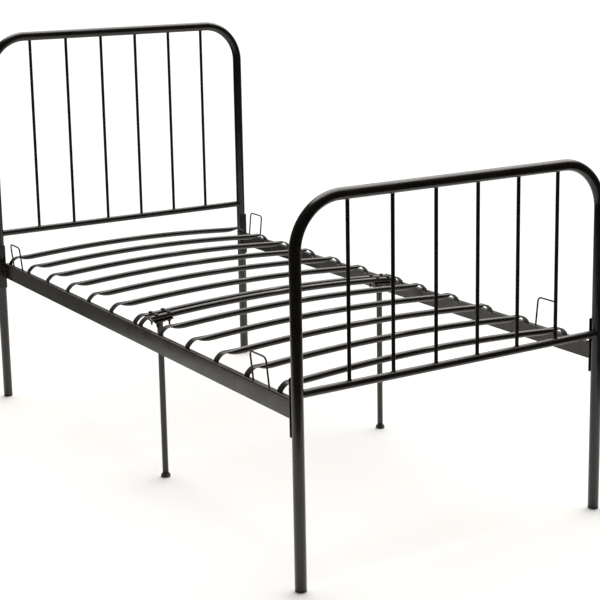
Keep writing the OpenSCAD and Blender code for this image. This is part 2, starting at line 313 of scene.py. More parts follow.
@dataclass(frozen=True)
class MouldedPlastic(Finish):
    """Black polyethylene, injection moulded in a finely sparked tool.

    To the eye it is a softer, flatter black than the coated steel, with a waxy sheen and a
    fine even grain.
    """

    name: str = "moulded_black_polyethylene"
    slot: str = "black_plastic"
    ending: str = "moulded"
    colour: str = "#121212"
    scuffed_colour: str = "#262626"
    ior: float = 1.51
    roughness: float = 0.52
    grain_mm: float = 1.5  # real spark grain is about 0.2 mm, so it is drawn coarser
    scuff_mm: float = 14.0

    def draw(self, tree: bpy.types.NodeTree) -> None:
        """Draws the plastic: scuffs, and the tool's grain."""
        even = Vector((1, 1, 1))
        grain = self.noise(tree, self.grain_mm, 2, even)
        scuffs = self.noise(tree, self.scuff_mm, 4, even)
        patches = self.spread(tree, scuffs, 0.0, 0.35)
        colour = blend_colours(tree, patches, self.colour, self.scuffed_colour)
        bump = add_node(tree, "ShaderNodeBump", Strength=0.4, Distance=0.1 * MM, Height=grain)
        shader = add_node(
            tree,
            "ShaderNodeBsdfPrincipled",
            Base_Color=colour,
            Roughness=self.spread(tree, scuffs, self.roughness + 0.08, self.roughness - 0.08),
            IOR=self.ior,
            Normal=bump.outputs[0],
        )
        add_node(tree, "ShaderNodeOutputMaterial", Surface=shader.outputs[0])


@dataclass(frozen=True)
class BlackZinc(Finish):
    """Black zinc plate on pressed steel fasteners.

    To the eye it is a nearly black metal with a faint olive tint, greyer on the rubbed crests
    and streaked by the barrel that it was plated in.
    """

    name: str = "black_zinc_plated_steel"
    slot: str = "black_zinc_steel"
    ending: str = "plated"
    colour: str = "#24231f"
    rubbed_colour: str = "#45433e"
    roughness: float = 0.36
    streak_mm: float = 3.0
    grain_mm: float = 0.8

    def draw(self, tree: bpy.types.NodeTree) -> None:
        """Draws the plate: streaks, rubbed patches and fine pits."""
        streaks = self.noise(tree, self.streak_mm, 3, Vector((1, 1, 0.25)))
        pits = self.noise(tree, self.grain_mm, 2, Vector((1, 1, 1)))
        rubbed = self.spread(tree, streaks, 0.0, 0.6)
        colour = blend_colours(tree, rubbed, self.colour, self.rubbed_colour)
        bump = add_node(tree, "ShaderNodeBump", Strength=0.3, Distance=0.05 * MM, Height=pits)
        shader = add_node(
            tree,
            "ShaderNodeBsdfPrincipled",
            Base_Color=colour,
            Metallic=1.0,
            Roughness=self.spread(tree, streaks, self.roughness + 0.1, self.roughness - 0.1),
            Normal=bump.outputs[0],
        )
        add_node(tree, "ShaderNodeOutputMaterial", Surface=shader.outputs[0])


@dataclass(frozen=True)
class StudioFloor(Finish):
    """Matt white studio paper under the bed: bright and even, with only a breath of tone."""

    name: str = "matt_white_studio_paper"
    slot: str = ""
    ending: str = "floor"
    colour: str = "#fafaf9"
    shade_colour: str = "#f6f6f5"
    cloud_mm: float = 900.0

    def draw(self, tree: bpy.types.NodeTree) -> None:
        """Draws the paper."""
        clouds = self.noise(tree, self.cloud_mm, 2, Vector((1, 1, 1)))
        colour = blend_colours(tree, clouds, self.colour, self.shade_colour)
        shader = add_node(tree, "ShaderNodeBsdfPrincipled", Base_Color=colour, Roughness=0.95)
        add_node(tree, "ShaderNodeOutputMaterial", Surface=shader.outputs[0])


COAT = PowderCoat()
PLASTIC = MouldedPlastic()
PLATED = BlackZinc()


# ---------------------------------------------------------------- outlines and skins


def circle(radius: float, sides: int) -> Outline:
    """A round outline.

    Args:
        radius: Its radius.
        sides: How many points it has.

    Returns:
        The points, starting on the first axis.
    """
    angles = [TURN * i / sides for i in range(sides)]
    return [(radius * math.cos(angle), radius * math.sin(angle)) for angle in angles]


def slab(width: float, height: float, corner: float, steps: int) -> Outline:
    """A rectangle with round corners, centred on the origin.

    Args:
        width: Its size along the first axis.
        height: Its size along the second axis.
        corner: The radius of its corners, at most half of either size.
        steps: How many steps each corner takes.

    Returns:
        The points, anticlockwise from the corner in the first quadrant.
    """
    points = []
    for quarter, (sx, sy) in enumerate(((1, 1), (-1, 1), (-1, -1), (1, -1))):
        cx, cy = sx * (width / 2 - corner), sy * (height / 2 - corner)
        for i in range(steps + 1):
            angle = TURN / 4 * (quarter + i / steps)
            points.append((cx + corner * math.cos(angle), cy + corner * math.sin(angle)))
    return points


def rounded(corners: Sequence[tuple[float, float, float]], steps: int = 6) -> Outline:
    """An outline through given corners, each rounded by its own radius.

    Args:
        corners: Each corner as its two coordinates and its radius.
        steps: How many steps each rounding takes.

    Returns:
        The points, in the corners' order.
    """
    points = []
    for i, (x, y, radius) in enumerate(corners):
        here = Vector((x, y))
        before = (Vector(corners[i - 1][:2]) - here).normalized()
        after = (Vector(corners[(i + 1) % len(corners)][:2]) - here).normalized()
        reach = radius / math.tan(before.angle(after) / 2)
        for step in range(steps + 1):
            share = step / steps
            start, end = here + before * reach, here + after * reach
            bent = start.lerp(here, share).lerp(here.lerp(end, share), share)
            points.append((bent.x, bent.y))
    return points


class Shaper:
    """Collects closed skins in one mesh and makes an object of them."""

    def __init__(self) -> None:
        """Starts with an empty mesh."""
        self.bm = bmesh.new()

    def skin(self, rings: Sequence[Ring], at: Matrix | None = None, joined: bool = False) -> None:
        """Adds a skin over a row of rings that all have the same number of points.

        Args:
            rings: The rings, in order.
            at: Where the rings are placed, or None to leave them.
            joined: True to join the last ring to the first, or False to close both ends.
        """
        turned = at or Matrix.Identity(4)
        rows = [[self.bm.verts.new(turned @ point) for point in ring] for ring in rings]
        pairs = list(zip(rows, rows[1:]))
        if joined:
            pairs.append((rows[-1], rows[0]))
        for low, high in pairs:
            for i in range(len(low)):
                j = (i + 1) % len(low)
                self.bm.faces.new((low[i], low[j], high[j], high[i]))
        if not joined:
            self.bm.faces.new(rows[0][::-1])
            self.bm.faces.new(rows[-1])

    def sweep(self, stations: Sequence["Station"], across: Vector, at: Matrix | None = None) -> None:
        """Adds a skin over the outlines of a path that lies in one plane.

        Args:
            stations: The path's stations, in order.
            across: The direction square to the path's plane, the outlines' first axis.
            at: Where the path is placed, or None to leave it.
        """
        self.skin([station.ring(across) for station in stations], at)

    def turn(self, profile: Outline, sides: int, at: Matrix, joined: bool = False) -> None:
        """Adds a lathed skin round the Z axis.

        Args:
            profile: Radius and height of each step, in order.
            sides: How many sides each ring has.
            at: Where the axis is placed.
            joined: True where the profile closes on itself, as round a bore.
        """
        rings = [[Vector((x, y, z)) for x, y in circle(radius, sides)] for radius, z in profile]
        self.skin(rings, at, joined)

    def make(self, name: str, sharp_deg: float = 38) -> bpy.types.Object:
        """Makes the object.

        Args:
            name: Its name.
            sharp_deg: Edges that turn more than this stay sharp.

        Returns:
            The object, linked to the scene.
        """
        bmesh.ops.recalc_face_normals(self.bm, faces=self.bm.faces)
        mesh = bpy.data.meshes.new(name)
        self.bm.to_mesh(mesh)
        self.bm.free()
        mesh.shade_smooth()
        mesh.set_sharp_from_angle(angle=math.radians(sharp_deg))
        made = bpy.data.objects.new(name, mesh)
        bpy.context.scene.collection.objects.link(made)
        return made


@dataclass(frozen=True)
class Station:
    """One cross-section of a swept piece: its place, its heading and its outline."""

    place: Vector
    heading: Vector
    outline: Outline

    def ring(self, across: Vector) -> Ring:
        """The outline's points in space.

        Args:
            across: The outline's first axis; its second is square to this and to the heading.

        Returns:
            The points.
        """
        upward = self.heading.cross(across).normalized()
        return [self.place + across * a + upward * b for a, b in self.outline]


def mirrored_half(half: Sequence[Station], axis: int) -> list[Station]:
    """The other half of a path that is the same on both sides, in the order that goes on from the first.

    Args:
        half: The stations of the first half.
        axis: The axis that the path is mirrored along, 0 for X or 1 for Y.

    Returns:
        The stations of the other half.
    """
    other = []
    for station in reversed(half):
        place, heading = station.place.copy(), station.heading.copy()
        place[axis] = -place[axis]
        heading.z = -heading.z
        other.append(Station(place, heading, station.outline))
    return other


def plate_rings(
    size: tuple[float, float],
    thickness: float,
    corner: float,
    corner_steps: int,
    lift: Callable[[float, float, float], Vector],
) -> list[Ring]:
    """The rings of a flat plate with round corners and slightly bevelled edges.

    Args:
        size: Its width and height.
        thickness: Its thickness.
        corner: The radius of its corners.
        corner_steps: How many steps each corner takes.
        lift: Takes width, height and depth to a point in space.

    Returns:
        The rings.
    """
    bevel = 0.0005
    rings = []
    for depth, shrink in ((0, bevel), (bevel, 0), (thickness - bevel, 0), (thickness, bevel)):
        flat = slab(size[0] - 2 * shrink, size[1] - 2 * shrink, corner - shrink, corner_steps)
        rings.append([lift(a, b, depth) for a, b in flat])
    return rings


@dataclass(frozen=True)
class Weld:
    """A small fillet weld round the end of a rod or tube, smoothed over by the coat."""

    leg: float = 0.0022
    ripples: int = 11
    ripple_share: float = 0.16
    steps: int = 5

    def profile(self) -> list[tuple[float, float]]:
        """Height above the other piece and growth of the rod's radius, from the foot upwards."""
        foot = [(-self.leg * 0.4, self.leg)]
        for i in range(self.steps + 1):
            angle = TURN / 4 * i / self.steps
            foot.append((self.leg * 1.25 * (1 - math.cos(angle)), self.leg * (1 - math.sin(angle))))
        return foot

    def growth(self, share: float, angle: float) -> float:
        """The growth of the radius at an angle, with the bead's ripples.

        Args:
            share: The plain growth.
            angle: The angle round the rod.

        Returns:
            The rippled growth.
        """
        return share * (1 + self.ripple_share * math.sin(self.ripples * angle))


def hide_under(piece: bpy.types.Object, nodes: Sequence[str], body: str, finish: Finish) -> None:
    """Puts a finished piece in the place of its CAD nodes.

    Args:
        piece: The new piece.
        nodes: The CAD nodes that it stands for.
        body: The CAD body that it rides on.
        finish: Its finish.
    """
    piece.data.materials.clear()
    piece.data.materials.append(finish.material())
    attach(piece, body)
    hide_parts(*nodes)
    LOG.info("%s stands for %s on %s", piece.name, ", ".join(nodes), body)


def centre(node: str) -> Vector:
    """The middle of a node's box."""
    low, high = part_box(node)
    return (low + high) / 2


# ---------------------------------------------------------------- the two ends


@dataclass
class WeldedBar:
    """A round bar between two parallel round tubes, coped to both and welded all round."""

    start: Vector
    end: Vector
    tube_axis: Vector
    diameter: float
    start_tube_d: float
    end_tube_d: float
    weld: Weld = field(default_factory=Weld)
    sides: int = 32

    def rings(self) -> list[Ring]:
        """The bar's rings from one tube to the other, with a weld fillet at each."""
        ahead = (self.end - self.start).normalized()
        foot = self.weld.profile()
        first = [self.ring(self.start, ahead, self.start_tube_d, rise, growth) for rise, growth in foot]
        last = [self.ring(self.end, -ahead, self.end_tube_d, rise, growth) for rise, growth in foot]
        return first + last[::-1]

    def ring(self, place: Vector, ahead: Vector, tube_d: float, rise: float, growth: float) -> Ring:
        """A ring that follows the surface of a tube.

        Args:
            place: The point where the bar's axis meets the tube's.
            ahead: The direction from there into the bar.
            tube_d: The tube's diameter.
            rise: The ring's height above the tube's surface.
            growth: How much wider than the bar the ring is.

        Returns:
            The ring's points.
        """
        sideways = (self.end - self.start).normalized().cross(self.tube_axis)
        points = []
        for i in range(self.sides):
            angle = TURN * i / self.sides
            radius = self.diameter / 2 + self.weld.growth(growth, angle)
            off = radius * math.sin(angle)
            height = math.sqrt((tube_d / 2) ** 2 - off**2) + rise
            along_tube = self.tube_axis * (radius * math.cos(angle))
            points.append(place + ahead * height + along_tube + sideways * off)
        return points


@dataclass
class BedEnd:
    """A headboard or footboard: bent hoop, lower bar, six spindles and two foot plugs."""

    end: End
    tube_d: float = 0.030
    tube_wall: float = 0.0015
    bore_depth: float = 0.030  # the open bore reaches past the end of the plug's spigot
    bend_r: float = 0.130
    bar_d: float = 0.021
    spindle_d: float = 0.010
    spindles: int = 6
    plug_spigot: float = 0.022
    plug_rib: float = 0.0006
    flattening: float = 0.035  # how much the bending flattens the tube in the plane of the hoop
    bend_steps: int = 28
    sides: int = 56

    def __post_init__(self) -> None:
        """Reads the hoop's place from the frame."""
        low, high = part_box(f"{self.end.label}board_hoop")
        self.post_x = high.x - self.tube_d / 2
        self.top_z = high.z - self.tube_d / 2
        self.plug_h = low.z
        self.plane_y = (low.y + high.y) / 2
        self.bar_z = centre(f"{self.end.label}board_lower_bar").z

    def build(self) -> None:
        """Builds every piece of this end."""
        self.build_hoop()
        self.build_bar()
        self.build_spindles()
        self.build_plugs()

    def section(self, oval: float) -> Outline:
        """The hoop's outline, flattened by a share of the full flattening."""
        tight = 1 - self.flattening * oval
        wide = 1 + self.flattening / 2 * oval
        return [(a * wide, b * tight) for a, b in circle(self.tube_d / 2, self.sides)]

    def build_hoop(self) -> None:
        """One tube: up the left post, round both bends and down the right post."""
        inner_x = self.post_x - self.bend_r
        bend_z = self.top_z - self.bend_r
        rim = 0.0008
        half = []
        straight = bend_z - self.plug_h - 0.02
        bore = ((self.bore_depth, self.tube_wall), (0.0, self.tube_wall))
        for lift, shrink in bore + ((0.0, rim), (rim / 3, rim / 3), (rim, 0.0), (straight, 0.0)):
            outline = circle(self.tube_d / 2 - shrink, self.sides)
            half.append(Station(Vector((-self.post_x, self.plane_y, self.plug_h + lift)), UP, outline))
        for i in range(self.bend_steps + 1):
            share = i / self.bend_steps
            angle = TURN / 4 * share
            x = -inner_x - self.bend_r * math.cos(angle)
            z = bend_z + self.bend_r * math.sin(angle)
            place = Vector((x, self.plane_y, z))
            heading = Vector((math.sin(angle), 0, math.cos(angle)))
            half.append(Station(place, heading, self.section(min(1.0, 1.6 * math.sin(math.pi * share)))))
        half.append(Station(Vector((-inner_x + 0.02, self.plane_y, self.top_z)), ACROSS, self.section(0)))
        shaper = Shaper()
        shaper.sweep(half + mirrored_half(half, 0), -ALONG)
        node = f"{self.end.label}board_hoop"
        hide_under(shaper.make(f"{node}_{COAT.ending}"), [node], "root", COAT)

    def build_bar(self) -> None:
        """The lower bar, coped and welded to both posts."""
        bar = WeldedBar(
            start=Vector((-self.post_x, self.plane_y, self.bar_z)),
            end=Vector((self.post_x, self.plane_y, self.bar_z)),
            tube_axis=UP,
            diameter=self.bar_d,
            start_tube_d=self.tube_d,
            end_tube_d=self.tube_d,
            weld=Weld(leg=0.0026, ripples=17),
            sides=48,
        )
        shaper = Shaper()
        shaper.skin(bar.rings())
        node = f"{self.end.label}board_lower_bar"
        hide_under(shaper.make(f"{node}_{COAT.ending}"), [node], "root", COAT)

    def build_spindles(self) -> None:
        """The upright spindles between the lower bar and the top of the hoop."""
        for number in range(1, self.spindles + 1):
            node = f"{self.end.label}_spindle_{number}"
            x = centre(node).x
            spindle = WeldedBar(
                start=Vector((x, self.plane_y, self.bar_z)),
                end=Vector((x, self.plane_y, self.top_z)),
                tube_axis=ACROSS,
                diameter=self.spindle_d,
                start_tube_d=self.bar_d,
                end_tube_d=self.tube_d,
                weld=Weld(leg=0.0018, ripples=9 + number % 3),
            )
            shaper = Shaper()
            shaper.skin(spindle.rings())
            hide_under(shaper.make(f"{node}_{COAT.ending}"), [node], "root", COAT)

    def build_plugs(self) -> None:
        """The moulded plugs that the posts stand on, with ribbed spigots."""
        bore_r = self.tube_d / 2 - self.tube_wall
        inner_r = bore_r - 0.003
        head_r = self.tube_d / 2 - 0.0001
        for side in Side:
            profile = [(head_r - 0.0018, 0.0), (head_r - 0.0006, 0.0004), (head_r, 0.0014)]
            profile += [(head_r, self.plug_h - 0.0003), (head_r - 0.0003, self.plug_h)]
            ribs = 3
            for i in range(ribs):
                base = self.plug_h + 0.002 + i * self.plug_spigot / (ribs + 0.5)
                profile += [(bore_r - self.plug_rib, base), (bore_r, base + 0.001), (bore_r, base + 0.002)]
                profile += [(bore_r - self.plug_rib, base + 0.003)]
            top = self.plug_h + self.plug_spigot
            profile += [(bore_r - 0.001, top), (inner_r, top), (inner_r, self.plug_h - 0.001)]
            shaper = Shaper()
            place = Matrix.Translation((side.value * self.post_x, self.plane_y, 0))
            shaper.turn(profile, self.sides, place)
            node = f"{self.end.label}_{side.label}_plug"
            hide_under(shaper.make(f"{node}_{PLASTIC.ending}"), [node], "root", PLASTIC)


# ---------------------------------------------------------------- side rails


@dataclass
class SideRail:
    """A folded angle rail with a hook plate welded to each end."""

    side: Side
    steel: float = 0.0025
    fold_r: float = 0.0032
    edge_r: float = 0.0006
    plate_t: float = 0.003
    plate_w: float = 0.026
    plate_corner: float = 0.003
    corner_steps: int = 5
    hook_t: float = 0.003
    hook_reach: float = 0.005
    hook_neck_h: float = 0.008
    hook_lip_h: float = 0.008
    low_hook_drop: float = 0.038
    high_hook_rise: float = 0.034
    weld_r: float = 0.0024
    weld_pitch: float = 0.0045

    def __post_init__(self) -> None:
        """Reads the rail's size from the frame."""
        low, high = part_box(f"{self.side.label}_rail")
        self.outer_x = max(abs(low.x), abs(high.x))
        self.flange_w = high.x - low.x
        self.low_z, self.top_z = low.z, high.z
        self.end_y = high.y

    def build(self) -> None:
        """Builds the rail and its two hook plates."""
        self.build_rail()
        for end in End:
            self.build_plate(end)

    def build_rail(self) -> None:
        """The angle: an upright web and a flange along its top, folded from one strip."""
        inner_x, t = self.outer_x - self.flange_w, self.steel
        inner_r = max(self.fold_r - t, 0.0007)
        corners = [
            (self.outer_x, self.low_z, self.edge_r),
            (self.outer_x, self.top_z, self.fold_r),
            (inner_x, self.top_z, self.edge_r),
            (inner_x, self.top_z - t, self.edge_r),
            (self.outer_x - t, self.top_z - t, inner_r),
            (self.outer_x - t, self.low_z, self.edge_r),
        ]
        outline = rounded(corners)
        spans = 24
        rings = []
        for i in range(spans + 1):
            y = self.end_y * (2 * i / spans - 1)
            rings.append([Vector((x, y, z)) for x, z in outline])
        shaper = Shaper()
        shaper.skin(rings, self.side.mirror())
        node = f"{self.side.label}_rail"
        hide_under(shaper.make(f"{node}_{COAT.ending}"), [node], "root", COAT)

    def build_plate(self, end: End) -> None:
        """A hook plate with its hooks and the weld along the rail's web.

        Args:
            end: The end of the bed that the plate hooks on to.
        """
        node = f"{end.label}_{self.side.label}_hook_plate"
        low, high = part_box(node)
        plate_x = self.side.value * (low.x + high.x) / 2
        middle_z = (low.z + high.z) / 2

        def lift(across: float, up: float, depth: float) -> Vector:
            """Stands the plate upright against the end of the rail."""
            return Vector((plate_x + across, end.value * (self.end_y + depth), middle_z + up))

        shaper = Shaper()
        size = (self.plate_w, high.z - low.z)
        rings = plate_rings(size, self.plate_t, self.plate_corner, self.corner_steps, lift)
        shaper.skin(rings, self.side.mirror())
        for neck_z in self.hook_heights():
            self.add_hook(shaper, plate_x, neck_z, end)
        self.add_weld(shaper, end)
        hide_under(shaper.make(f"{node}_{COAT.ending}"), [node], "root", COAT)

    def hook_heights(self) -> tuple[float, float]:
        """The undersides of the two hooks' necks."""
        middle = (self.low_z + self.top_z) / 2
        return middle - self.low_hook_drop, middle + self.high_hook_rise

    def add_hook(self, shaper: Shaper, plate_x: float, neck_z: float, end: End) -> None:
        """Adds one hook: a neck through the post's wall and a lip that hangs behind it.

        Args:
            shaper: Where the hook is added.
            plate_x: The middle of the plate on the right side.
            neck_z: The underside of the neck.
            end: The end of the bed.
        """
        near = self.end_y + self.plate_t - 0.0005
        far = self.end_y + self.plate_t + self.hook_reach
        lip = 0.003
        low = neck_z + 0.001 - self.hook_lip_h
        top = neck_z + self.hook_neck_h
        corners = [(near, neck_z), (far - lip, neck_z), (far - lip, low)]
        corners += [(far, low), (far, top), (near, top)]
        flat = rounded([(y, z, 0.0005) for y, z in corners], 2)
        rings = []
        for x in (-self.hook_t / 2, self.hook_t / 2):
            rings.append([Vector((plate_x + x, end.value * y, z)) for y, z in flat])
        shaper.skin(rings, self.side.mirror())

    def add_weld(self, shaper: Shaper, end: End) -> None:
        """Adds the bead between the web's outer face and the plate.

        Args:
            shaper: Where the bead is added.
            end: The end of the bed.
        """
        low, high = self.low_z + 0.004, self.top_z - 0.004
        steps = int((high - low) / self.weld_pitch * 5)
        stations = []
        for i in range(steps + 1):
            share = i / steps
            ripple = 1 + 0.14 * math.cos(TURN * share * (high - low) / self.weld_pitch)
            taper = min(1.0, 6 * share + 0.25, 6 * (1 - share) + 0.25)
            place = Vector((self.outer_x, end.value * self.end_y, low + (high - low) * share))
            stations.append(Station(place, UP, circle(self.weld_r * ripple * taper, 14)))
        shaper.sweep(stations, ACROSS, self.side.mirror())


# ---------------------------------------------------------------- slats


@dataclass
class Slat:
    """An arched tube whose crushed ends run out in tongues that stand on the rails."""

    node: str
    bolted: bool
    tube_d: float = 0.018
    half: float = 0.434
    rise: float = 0.018
    tongue_t: float = 0.003
    tongue_w: float = 0.024
    tongue_down: float = math.radians(45)
    bend_1: float = 0.030
    bend_2: float = 0.010
    tab_w: float = 0.016
    tab_drop: float = 0.010
    crush_len: float = 0.055
    bolted_crush_len: float = 0.018
    swage: float = 0.0005
    stretch: float = 0.056
    leg_x: float = 0.390
    steps: int = 12

    def __post_init__(self) -> None:
        """Works out the arch from the node's box."""
        low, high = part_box(self.node)
        rail_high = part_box("right_rail")[1]
        self.y = (low.y + high.y) / 2
        self.foot_z = rail_high.z
        self.tab_x = high.x - self.tongue_t / 2
        self.radius = (self.half**2 + self.rise**2) / (2 * self.rise)
        self.end_slope = math.asin(self.half / self.radius)
        if self.bolted:
            self.crush_len = self.bolted_crush_len
        self.arch_z = self.foot_z + 0.015 - self.radius * math.cos(self.end_slope)

    def build(self) -> None:
        """Builds the slat as one skin from tab to tab."""
        right = self.stations()
        shaper = Shaper()
        shaper.sweep(mirrored_half(right, 0) + right, ALONG)
        hide_under(shaper.make(f"{self.node}_{COAT.ending}", sharp_deg=50), [self.node], "root", COAT)

    def section(self, width: float, height: float) -> Outline:
        """A flattened round outline that hangs from the middle of the tube's upper wall.

        Args:
            width: Its size along the bed.
            height: Its size from top to bottom.

        Returns:
            The points.
        """
        drop = height / 2 - self.tongue_t / 2
        return [(a, b - drop) for a, b in slab(width, height, height / 2 - 1e-5, 8)]

    def crushed(self, x: float) -> tuple[float, float]:
        """Width and height of the tube where it is crushed.

        Args:
            x: The distance from the bed's middle.

        Returns:
            The width and the height.
        """
        share = min(1.0, max(0.0, (x - self.half + self.crush_len) / self.crush_len))
        left = 1 - share**2.2
        height = self.tongue_t + (self.tube_d - self.tongue_t) * left
        width = self.tube_d + (self.tongue_w - self.tube_d) * share**1.5
        if self.bolted and abs(x - self.leg_x) < self.stretch / 2 and share < 0.5:
            height += self.swage / 2
        return width, height

    def stations(self) -> list[Station]:
        """The stations of the right half, from the middle of the bed out to the tab."""
        wall_mid = self.tube_d / 2 - self.tongue_t / 2
        crush_x = self.half - self.crush_len
        places = [crush_x * i / self.steps for i in range(self.steps)]
        places += [crush_x + self.crush_len * i / 12 for i in range(13)]
        found = []
        for x in places:
            slope = math.asin(x / self.radius)
            reach = self.radius + wall_mid
            place = Vector((reach * math.sin(slope), self.y, self.arch_z + reach * math.cos(slope)))
            heading = Vector((math.cos(slope), 0, -math.sin(slope)))
            found.append(Station(place, heading, self.section(*self.crushed(x))))
        return found + self.tongue(found[-1].place)

    def tongue(self, start: Vector) -> list[Station]:
        """The tongue: a gentle bend, a straight run, a tight bend and the narrower tab.

        Args:
            start: Where the round part ends, on the middle of the upper wall.

        Returns:
            Its stations.
        """
        flat = self.section(self.tongue_w, self.tongue_t)
        found = []

        def add(place: Vector, angle: float, outline: Outline) -> None:
            """Adds one station with its heading below the horizontal."""
            found.append(Station(place, Vector((math.cos(angle), 0, -math.sin(angle))), outline))

        def bend(origin: Vector, radius: float, first: float, last: float, count: int) -> Vector:
            """Adds a bend and gives its end."""
            for i in range(1, count + 1):
                angle = first + (last - first) * i / count
                shift = Vector((math.sin(angle) - math.sin(first), 0, math.cos(angle) - math.cos(first)))
                place = origin + shift * radius
                add(place, angle, flat)
            return place

        knee = bend(start, self.bend_1, self.end_slope, self.tongue_down, 6)
        bend_run = self.bend_2 * (1 - math.sin(self.tongue_down))
        run = (self.tab_x - knee.x - bend_run) / math.cos(self.tongue_down)
        hip = knee + Vector((math.cos(self.tongue_down), 0, -math.sin(self.tongue_down))) * run
        add(hip, self.tongue_down, flat)
        foot = bend(hip, self.bend_2, self.tongue_down, TURN / 4, 7)
        down = TURN / 4
        narrow = self.section(self.tab_w, self.tongue_t)
        add(Vector((foot.x, self.y, self.foot_z)), down, flat)
        add(Vector((foot.x, self.y, self.foot_z - 0.0001)), down, narrow)
        add(Vector((foot.x, self.y, self.foot_z - self.tab_drop + 0.0006)), down, narrow)
        tip = self.section(self.tab_w - 0.001, self.tongue_t - 0.001)
        add(Vector((foot.x, self.y, self.foot_z - self.tab_drop)), down, [(a, b - 0.0005) for a, b in tip])
        return found


# ---------------------------------------------------------------- mid legs


